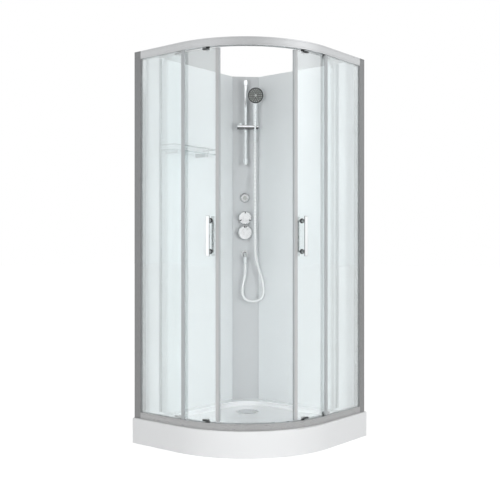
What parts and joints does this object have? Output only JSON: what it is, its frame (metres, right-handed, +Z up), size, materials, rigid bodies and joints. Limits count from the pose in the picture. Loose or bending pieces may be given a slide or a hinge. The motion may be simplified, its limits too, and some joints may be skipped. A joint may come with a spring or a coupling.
{
  "type": "shower cabin",
  "caption": "Corner shower cabin with a curved front: sliding glass doors on rollers, tray, back walls and a shower set with hand shower, hose, knobs and shelf.",
  "frame": {"origin": "middle of the footprint's bounding rectangle, on the floor", "axes": "+Z up; the left back wall lies at -X, the right back wall at +Y, the curved front towards +X and -Y"},
  "size_m": [0.85, 0.9, 2.015],
  "materials": {
    "tray_acrylic": "glossy white moulding",
    "wall_acrylic": "smooth white panel",
    "column_grey": "smooth light grey panel",
    "anodised": "satin anodised",
    "clear_glass": "clear toughened glass",
    "seal_vinyl": "translucent soft vinyl",
    "gasket_rubber": "dark grey rubber",
    "chrome": "polished chrome",
    "chromed_plastic": "chrome-plated plastic",
    "spray_grey": "grey with rubber nozzles",
    "hose_metal": "silver sleeve",
    "roller_dark": "dark grey moulding",
    "roller_nylon": "white nylon",
    "galvanised": "zinc-plated",
    "waste_plastic": "white polypropylene",
    "brass_body": "cast"
  },
  "bodies": {
    "cabin": {"bottom_rail": "anodised", "column_jet": "chromed_plastic", "column_panel": "column_grey", "column_trims": "column_grey", "door_stops": "gasket_rubber", "edge_seals": "seal_vinyl", "hose_nut": "chrome", "left_fixed_pane": "clear_glass", "left_post": "anodised", "left_wall": "wall_acrylic", "pane_gaskets": "gasket_rubber", "post_plugs": "waste_plastic", "right_fixed_pane": "clear_glass", "right_post": "anodised", "right_wall": "wall_acrylic", "riser_bar": "chrome", "riser_brackets": "chromed_plastic", "rosettes": "chrome", "shelf_arms": "chrome", "shelf_gallery": "chrome", "shelf_plate": "clear_glass", "shower_hose": "hose_metal", "top_rail": "anodised", "tray_bars": "galvanised", "tray_feet": "galvanised", "tray_shell": "tray_acrylic", "valve_manifold": "brass_body", "wall_outlet": "chrome", "waste_body": "waste_plastic", "waste_trap": "waste_plastic"},
    "slider": {"slider": "chromed_plastic"},
    "slider_knob": {"slider_knob": "chromed_plastic"},
    "hand_shower": {"hand_shower": "chromed_plastic", "spray_face": "spray_grey", "hose_cone": "chromed_plastic"},
    "upper_knob": {"upper_knob": "chromed_plastic"},
    "lower_knob": {"lower_knob": "chromed_plastic"},
    "drain_cover": {"drain_cover": "chromed_plastic"},
    "left_door": {"left_door_pane": "clear_glass", "left_door_profile": "anodised", "left_magnet_seal": "seal_vinyl", "left_trailing_seal": "seal_vinyl", "left_outer_handle": "chrome", "left_inner_handle": "chrome", "left_roller_carriers": "roller_dark"},
    "left_top_leading_wheel": {"left_top_leading_wheel": "roller_nylon"},
    "left_top_trailing_wheel": {"left_top_trailing_wheel": "roller_nylon"},
    "left_bottom_leading_wheel": {"left_bottom_leading_wheel": "roller_nylon"},
    "left_bottom_trailing_wheel": {"left_bottom_trailing_wheel": "roller_nylon"},
    "right_door": {"right_door_pane": "clear_glass", "right_door_profile": "anodised", "right_magnet_seal": "seal_vinyl", "right_trailing_seal": "seal_vinyl", "right_outer_handle": "chrome", "right_inner_handle": "chrome", "right_roller_carriers": "roller_dark"},
    "right_top_leading_wheel": {"right_top_leading_wheel": "roller_nylon"},
    "right_top_trailing_wheel": {"right_top_trailing_wheel": "roller_nylon"},
    "right_bottom_leading_wheel": {"right_bottom_leading_wheel": "roller_nylon"},
    "right_bottom_trailing_wheel": {"right_bottom_trailing_wheel": "roller_nylon"}
  },
  "joints": [
    {"name": "left_door_slide", "type": "hinge", "parent": "cabin", "child": "left_door", "pos_m": [-0.1, 0.075, 0], "axis": [0, 0, -1], "range_deg": [-20.47, 7.53]},
    {"name": "left_top_leading_wheel_spin", "type": "hinge", "parent": "left_door", "child": "left_top_leading_wheel", "pos_m": [0.03347, -0.39595, 1.9933], "axis": [0.2727, -0.9621, 0], "range_deg": [-1300, 1300]},
    {"name": "left_top_trailing_wheel_spin", "type": "hinge", "parent": "left_door", "child": "left_top_trailing_wheel", "pos_m": [-0.13817, -0.41301, 1.9933], "axis": [-0.078, -0.997, 0], "range_deg": [-1300, 1300]},
    {"name": "left_bottom_leading_wheel_spin", "type": "hinge", "parent": "left_door", "child": "left_bottom_leading_wheel", "pos_m": [0.03347, -0.39595, 0.1465], "axis": [0.2727, -0.9621, 0], "range_deg": [-1300, 1300]},
    {"name": "left_bottom_trailing_wheel_spin", "type": "hinge", "parent": "left_door", "child": "left_bottom_trailing_wheel", "pos_m": [-0.13817, -0.41301, 0.1465], "axis": [-0.078, -0.997, 0], "range_deg": [-1300, 1300]},
    {"name": "right_door_slide", "type": "hinge", "parent": "cabin", "child": "right_door", "pos_m": [-0.1, 0.075, 0], "axis": [0, 0, 1], "range_deg": [-22.47, 5.53]},
    {"name": "right_top_leading_wheel_spin", "type": "hinge", "parent": "right_door", "child": "right_top_leading_wheel", "pos_m": [0.37532, -0.04195, 1.9933], "axis": [0.971, -0.2389, 0], "range_deg": [-1300, 1300]},
    {"name": "right_top_trailing_wheel_spin", "type": "hinge", "parent": "right_door", "child": "right_top_trailing_wheel", "pos_m": [0.38638, 0.13018, 1.9933], "axis": [0.9936, 0.1127, 0], "range_deg": [-1300, 1300]},
    {"name": "right_bottom_leading_wheel_spin", "type": "hinge", "parent": "right_door", "child": "right_bottom_leading_wheel", "pos_m": [0.37532, -0.04195, 0.1465], "axis": [0.971, -0.2389, 0], "range_deg": [-1300, 1300]},
    {"name": "right_bottom_trailing_wheel_spin", "type": "hinge", "parent": "right_door", "child": "right_bottom_trailing_wheel", "pos_m": [0.38638, 0.13018, 0.1465], "axis": [0.9936, 0.1127, 0], "range_deg": [-1300, 1300]},
    {"name": "slider_height", "type": "slide", "parent": "cabin", "child": "slider", "axis": [0, 0, 1], "range_m": [-0.165, 0.21], "deforming": ["shower_hose"]},
    {"name": "slider_clamp", "type": "hinge", "parent": "slider", "child": "slider_knob", "pos_m": [-0.34277, 0.31969, 1.719], "axis": [0, 0, 1], "range_deg": [-180, 180]},
    {"name": "hand_shower_lift", "type": "slide", "parent": "slider", "child": "hand_shower", "axis": [0, 0, 1], "range_m": [0, 0.055], "deforming": ["shower_hose"]},
    {"name": "upper_knob_turn", "type": "hinge", "parent": "cabin", "child": "upper_knob", "pos_m": [-0.35904, 0.37696, 1.184], "axis": [0.7071, -0.7071, 0], "range_deg": [-60, 60]},
    {"name": "lower_knob_turn", "type": "hinge", "parent": "cabin", "child": "lower_knob", "pos_m": [-0.35904, 0.37696, 1.098], "axis": [0.7071, -0.7071, 0], "range_deg": [0, 180]},
    {"name": "drain_cover_lift", "type": "slide", "parent": "cabin", "child": "drain_cover", "axis": [0, 0, 1], "range_m": [0, 0.05]}
  ],
  "couplings": [
    {"joint": "left_top_leading_wheel_spin", "follows": "left_door_slide", "ratio": 44.5},
    {"joint": "left_top_trailing_wheel_spin", "follows": "left_door_slide", "ratio": 44.5},
    {"joint": "left_bottom_leading_wheel_spin", "follows": "left_door_slide", "ratio": 51.526},
    {"joint": "left_bottom_trailing_wheel_spin", "follows": "left_door_slide", "ratio": 51.526},
    {"joint": "right_top_leading_wheel_spin", "follows": "right_door_slide", "ratio": -44.5},
    {"joint": "right_top_trailing_wheel_spin", "follows": "right_door_slide", "ratio": -44.5},
    {"joint": "right_bottom_leading_wheel_spin", "follows": "right_door_slide", "ratio": -51.526},
    {"joint": "right_bottom_trailing_wheel_spin", "follows": "right_door_slide", "ratio": -51.526}
  ]
}
